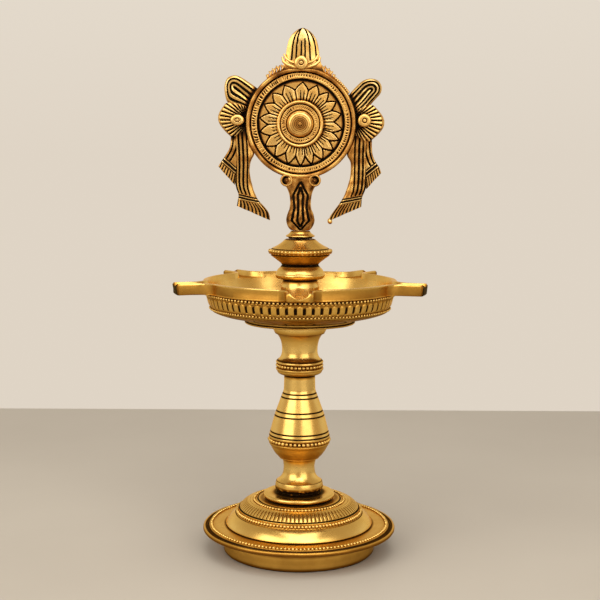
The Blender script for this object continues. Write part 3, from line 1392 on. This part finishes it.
def shell(name, node, side):
    upper, lower, swell = SHELL_EDGES[side]
    upper_path, lower_path = smooth(upper), smooth(lower)
    middle = Vector((side * (SHELL_X - 5.5), SHELL_Z))

    def place(u, v):
        here = on_path(upper_path, v).lerp(on_path(lower_path, v), u)
        return off_wheel(here + Vector((side * swell * v**1.2 * math.sin(math.pi * u), 0)))

    def face(u, v):
        out = place(u, v) - middle
        share = math.atan2(out.y, side * out.x) / RIB_ANGLE % 1 - 0.5
        scallop = 1 - 0.035 * (1 - math.cos(2 * math.pi * share))
        fade = min(1, max(0, (scallop - v) / 0.06))
        slot = dip((abs(share) - 0.5) * RIB_ANGLE * out.length, 0.37) * fade
        crown = math.cos(math.pi * share)
        body = 1.1 + 1.3 * math.sin(math.pi * min(1, 0.3 + 0.62 * v)) * (0.45 + 0.55 * edge_round(u, 0.3))
        height = (body + 0.35 * crown) * (0.3 + 0.7 * math.sqrt(min(1, (1 - v) / 0.12)))
        return height - 0.85 * slot, max(0.8 - 2.5 * v, 0.05 + 0.15 * (1 - crown), slot)

    form = plate(place, face, 1.8, 120, 100)
    uneven(form, 0.1, 3)
    return placed(form, name, node, "antique_brass")


shell("left_scallop", "left_shell", -1)
shell("right_scallop", "right_shell", 1)


# %% [markdown]
# A flame is a strip bent back on itself like a hairpin with a broad, blunt bend. Its two
# edges are given as pairs of points: the middle of the bend, and the outline beside it. Its
# ridges lie between them at even shares, so that they follow the bend.

# %% Side flames
FLAME_PAIRS = {
    -1: [
        ((-23.7, 10.3), (-20.5, 16.2)), ((-27.6, 13.6), (-25.4, 19.6)), ((-30.3, 15.8), (-28.4, 21.5)),
        ((-31.4, 16.7), (-30.6, 22.5)), ((-31.7, 16.9), (-33.4, 22.2)), ((-31.8, 17.0), (-35.3, 21.0)),
        ((-31.8, 17.0), (-36.5, 17.9)), ((-31.8, 17.0), (-36.4, 14.6)), ((-31.7, 16.9), (-35.9, 12.0)),
        ((-31.4, 16.7), (-35.2, 9.6)), ((-30.3, 15.8), (-32.2, 8.0)), ((-27.6, 13.6), (-29.0, 7.6)),
        ((-23.7, 10.3), (-25.4, 6.7)),
    ],
    1: [
        ((25.0, 6.8), (22.3, 12.9)), ((29.4, 11.6), (26.0, 17.2)), ((31.2, 14.0), (29.0, 20.0)),
        ((32.2, 15.2), (32.0, 21.2)), ((32.5, 15.5), (35.1, 21.1)), ((32.6, 15.6), (37.2, 19.9)),
        ((32.6, 15.6), (38.5, 17.6)), ((32.6, 15.6), (38.4, 15.5)), ((32.5, 15.5), (37.6, 13.7)),
        ((32.2, 15.2), (35.7, 11.8)), ((31.2, 14.0), (33.7, 9.4)), ((29.4, 11.6), (31.6, 7.2)),
        ((25.0, 6.8), (27.0, 3.6)),
    ],
}
# Place across and half width of each groove
FLAME_GROOVES = {-1: ((0.0, 0.1), (0.36, 0.1), (0.7, 0.08)), 1: ((0.17, 0.1), (0.5, 0.1), (0.78, 0.07))}


def flame(name, node, side):
    pairs = FLAME_PAIRS[side]
    bend_line = smooth([inner for inner, _ in pairs])
    edge = smooth([outer for _, outer in pairs])

    def place(u, v):
        return off_wheel(on_path(bend_line, v).lerp(on_path(edge, v), u))

    def face(u, v):
        cut = max(dip(u - middle, half) for middle, half in FLAME_GROOVES[side])
        fall = math.sqrt(max(0.05, 1 - max(0, (u - 0.82) / 0.19) ** 2))
        height = 2.0 * (0.55 + 0.6 * math.sin(math.pi * (0.2 + 0.6 * u))) * fall
        near_wheel = min(1, max(0, (place(u, v).length - WHEEL_EDGE) / 2.5))
        return height - 0.95 * cut, max(0.9 - 0.9 * near_wheel, cut, 0.75 if v > 0.97 else 0)

    form = plate(place, face, 1.8, 72, 150)
    uneven(form, 0.12, 3)
    return placed(form, name, node, "antique_brass")


flame("left_hairpin_flame", "left_flame", -1)
flame("right_hairpin_flame", "right_flame", 1)


# %% [markdown]
# Each ribbon has a long and a short tail, pleated lengthwise, with a double cross band and
# a fringe at the end. An edge of a tail is a list of points beside and below the wheel's
# centre. Pleats run at a set distance from the outer edge, and bands and fringe follow v.
# The tip of the right ribbon curls up in a small knob.

# %% Ribbons
LONG_EDGES = {
    -1: (
        [(-26.0, -2.0), (-25.2, -7.0), (-23.4, -12.0), (-21.9, -14.6), (-24.0, -17.9), (-24.6, -22.1),
         (-24.3, -25.1), (-23.5, -28.9), (-22.4, -32.6), (-20.9, -36.0), (-19.0, -38.3), (-16.4, -41.0),
         (-15.0, -43.2), (-14.6, -46.4)],
        [(-32.2, -2.0), (-31.8, -8), (-31.4, -15), (-31.3, -22), (-31.5, -28.5), (-30.9, -31.0),
         (-29.6, -34.2), (-30.2, -36.8), (-30.6, -39.4)]),
    1: (
        [(26.0, -3.0), (25.0, -8.0), (23.0, -12.6), (21.8, -14.9), (24.0, -17.9), (24.2, -21.3),
         (23.9, -25.1), (23.1, -28.5), (22.0, -31.9), (20.5, -35.7), (18.6, -38.3), (16.7, -41.0),
         (14.6, -43.8), (13.5, -46.6)],
        [(32.2, -3.0), (32.0, -8), (31.8, -15), (31.9, -22), (31.6, -28.5), (31.2, -31.5), (30.3, -33.4),
         (29.5, -35.7), (29.3, -39.6)]),
}
SHORT_EDGES = {
    -1: (
        [(-29.6, -6.0), (-30.0, -16), (-30.6, -24), (-31.6, -29.4)],
        [(-33.4, -6.5), (-33.6, -10.0), (-34.5, -13.0), (-36.4, -16.0), (-37.9, -17.9), (-39.5, -20.6)]),
    1: (
        [(29.6, -6.0), (30.2, -16), (30.8, -24), (31.5, -31.2)],
        [(34.0, -7.0), (34.1, -13.0), (34.8, -16.0), (36.3, -18.7), (37.8, -20.9), (38.7, -23.4)]),
}
# Distance of each pleat from the outer edge and its half width
LONG_PLEATS = ((0.45, 0.5), (2.1, 0.5), (4.0, 0.55), (6.0, 0.4))
SHORT_PLEATS = ((1.2, 0.45), (3.2, 0.5))
# Shares of the inner and the outer edge where the cross bands begin and end
LONG_BANDS = ((0.741, 0.813), (0.86, 0.92))
SHORT_BANDS = ((0.66, 0.8), (0.66, 0.84))
# Shares of v that the cross bands are given, whatever their share of the edges
BAND, BAND_END = 0.72, 0.84


def tail(inner, outer, bands, pleats, fringe, front, back, rows):
    """One tail of a ribbon. Its bands lie between two shares of the way, on each edge their own."""
    routes = Route(smooth(inner)), Route(smooth(outer))
    tables = [((0, 0), (BAND, begin), (BAND_END, end), (1, 1)) for begin, end in bands]

    def sides(v):
        return [route.at(reading(table, v) * route.along[-1]) for route, table in zip(routes, tables)]

    def place(u, v):
        a, b = sides(v)
        return off_wheel(a.lerp(b, u))

    def face(u, v):
        side_fall = 0.35 + 0.65 * edge_round(u, 0.16)
        if v > BAND_END:
            share = u * fringe % 1 - 0.5
            slot = dip(share, 0.26) * min(1, (v - BAND_END) / 0.02)
            return front * side_fall * 0.95 - 0.45 * slot, max(0.2, slot)
        if v > BAND - 0.01:
            across = (v - BAND) / (BAND_END - BAND)
            line = max(dip(across, 0.13), dip(across - 0.5, 0.2), dip(across - 1, 0.1))
            return front * side_fall * 1.12 - 0.5 * line, line
        a, b = sides(v)
        from_edge = (1 - u) * (a - b).length
        cut, swell = 0.0, 0.0
        for middle, half in pleats:
            cut = max(cut, dip(from_edge - middle, half))
            swell += math.exp(-(((abs(from_edge - middle) - 1.7 * half) / half) ** 2))
        cut *= min(1, max(0, (BAND - 0.012 - v) / 0.02))
        behind_shell = max(0, 0.9 - 5 * v)
        worn = 0.2 + 0.3 * noise.noise(a.to_3d() / 4)
        return front * side_fall + 0.2 * min(1, swell) - 0.85 * cut, max(worn, behind_shell, cut)

    return plate(place, face, back, 84, rows)


TIP_CURL = (14.2, -46.7)


def ribbon(name, node, side):
    form = tail(*LONG_EDGES[side], LONG_BANDS, LONG_PLEATS, 8.5, 1.9, 1.4, 220)
    short = tail(*SHORT_EDGES[side], SHORT_BANDS, SHORT_PLEATS, 7, 1.4, 1.5, 130)
    joined(form, short)
    if side > 0:
        joined(form, lobe(*TIP_CURL, math.radians(-70), 1.5, 1.15, 1.7, -0.2))
    uneven(form, 0.12, 3)
    return placed(form, name, node, "antique_brass")


ribbon("left_pleated_ribbon", "left_ribbon", -1)
ribbon("right_pleated_ribbon", "right_ribbon", 1)


# %% [markdown]
# ## Stage, light and camera
# The lamp stands on a plain pale floor that ends a little behind it, at the height where
# the photograph's table ends.

# %% Floor
def pale_floor():
    finish, tree, shader = new_finish("pale_floor")
    place = wire(tree, "TexCoord").outputs["Object"]
    cloud = wire(tree, "TexNoise", {"Vector": place, "Scale": 6, "Detail": 3}).outputs["Fac"]
    stops = [(0.3, (0.55, 0.50, 0.43)), (0.7, (0.59, 0.54, 0.465))]
    tree.links.new(colour_steps(tree, cloud, stops), shader.inputs["Base Color"])
    shader.inputs["Roughness"].default_value = 0.6
    return finish


TABLE = 1.6
TABLE_BACK = 0.33
floor_form = bmesh.new()
bmesh.ops.create_grid(floor_form, x_segments=8, y_segments=8, size=TABLE)
bmesh.ops.translate(floor_form, vec=(0, TABLE_BACK - TABLE, 0), verts=floor_form.verts[:])
floor_mesh = bpy.data.meshes.new("floor")
floor_form.to_mesh(floor_mesh)
floor_form.free()
floor_mesh.materials.append(pale_floor())
floor = bpy.data.objects.new("floor", floor_mesh)
bpy.context.scene.collection.objects.link(floor)


# %% [markdown]
# Polished metal shows its surroundings, so the surroundings matter more than the lamps.
# Behind the lamp stands a pale wall, and the room on the viewer's side is a dimmer, warmer
# one. The camera and mirrors see them, and all else gets a plain even light.

# %% World
PALE_WALL = [
    (0.0, (0.74, 0.66, 0.56)), (0.25, (0.80, 0.73, 0.63)), (0.6, (0.55, 0.44, 0.30)),
    (1.0, (0.45, 0.34, 0.21))]
DIM_ROOM = [
    (0.0, (0.52, 0.37, 0.22)), (0.3, (0.55, 0.42, 0.27)), (0.7, (0.50, 0.38, 0.24)),
    (1.0, (0.45, 0.34, 0.21))]
EVEN_LIGHT, EVEN_STRENGTH = (0.5, 0.46, 0.41, 1), 0.7


def pale_world():
    world = bpy.data.worlds.new("pale_room")
    world.use_nodes = True
    tree = world.node_tree
    ground = tree.nodes["Background"]
    out = tree.nodes["World Output"]
    rays = wire(tree, "LightPath")
    seen = rays.outputs["Is Camera Ray"]
    for ray in ("Is Glossy Ray", "Is Transmission Ray"):
        seen = wire(tree, "Math", {0: seen, 1: rays.outputs[ray]}, operation="MAXIMUM").outputs[0]
    direction = wire(tree, "TexCoord").outputs["Generated"]
    split = wire(tree, "SeparateXYZ", {"Vector": direction})
    wall = colour_steps(tree, split.outputs["Z"], PALE_WALL)
    room = colour_steps(tree, split.outputs["Z"], DIM_ROOM)
    behind = wire(tree, "MapRange", {0: split.outputs["Y"], 1: -0.1, 2: 0.35, 3: 0, 4: 1}).outputs[0]
    pale = wire(tree, "MixRGB", {"Fac": behind, "Color1": room, "Color2": wall}).outputs[0]
    ground.inputs["Color"].default_value = EVEN_LIGHT
    ground.inputs["Strength"].default_value = EVEN_STRENGTH
    backdrop = wire(tree, "Background", {"Color": pale, "Strength": 1.0})
    mixed = wire(tree, "MixShader", {0: seen, 1: ground.outputs[0], 2: backdrop.outputs[0]})
    tree.links.new(mixed.outputs[0], out.inputs["Surface"])
    return world


bpy.context.scene.world = pale_world()


# %% [markdown]
# Three large soft boxes light the lamp: one on the left, a weaker one on the right, and a
# long one above. They are large so that their mirror images on the brass stay soft.

# %% Soft lamps
WARM_WHITE, TOP_WHITE = (1.0, 0.95, 0.87), (1.0, 0.96, 0.9)


def soft_lamp(name, place, target, width, height, power, colour):
    light = bpy.data.lights.new(name, "AREA")
    light.shape = "RECTANGLE"
    light.size, light.size_y = width, height
    light.energy = power
    light.color = colour
    lamp = bpy.data.objects.new(name, light)
    lamp.location = place
    lamp.rotation_euler = (Vector(target) - Vector(place)).to_track_quat("-Z", "Y").to_euler()
    bpy.context.scene.collection.objects.link(lamp)


soft_lamp("left_soft_box", (-0.8, -0.75, 0.7), (0, 0, 0.14), 1.0, 1.1, 7.2, WARM_WHITE)
soft_lamp("right_soft_box", (0.65, -1.0, 0.6), (0, 0, 0.14), 1.0, 1.1, 5.2, WARM_WHITE)
soft_lamp("top_soft_box", (0.05, -0.42, 1.0), (0, 0, 0.08), 0.65, 1.35, 6.5, TOP_WHITE)


# %% [markdown]
# The camera looks at the lamp from a little above the bowl, as the photographer did. Its
# distance and its tilt were read from the ovals that the lamp's rings make.

# %% Camera
LENS, SENSOR = 72.9, 36
EYE = Vector((0, -0.5865, 0.1942))
PITCH = math.radians(90 - 6.8)
ROLL = math.radians(0.28)
camera_data = bpy.data.cameras.new("camera")
camera_data.lens = LENS
camera_data.sensor_width = SENSOR
camera = bpy.data.objects.new("camera", camera_data)
camera.location = EYE
turn_camera = Matrix.Rotation(PITCH, 3, "X") @ Matrix.Rotation(ROLL, 3, "Z")
camera.rotation_euler = turn_camera.to_euler()
bpy.context.scene.collection.objects.link(camera)
bpy.context.scene.camera = camera
bpy.context.scene.view_settings.view_transform = "Standard"
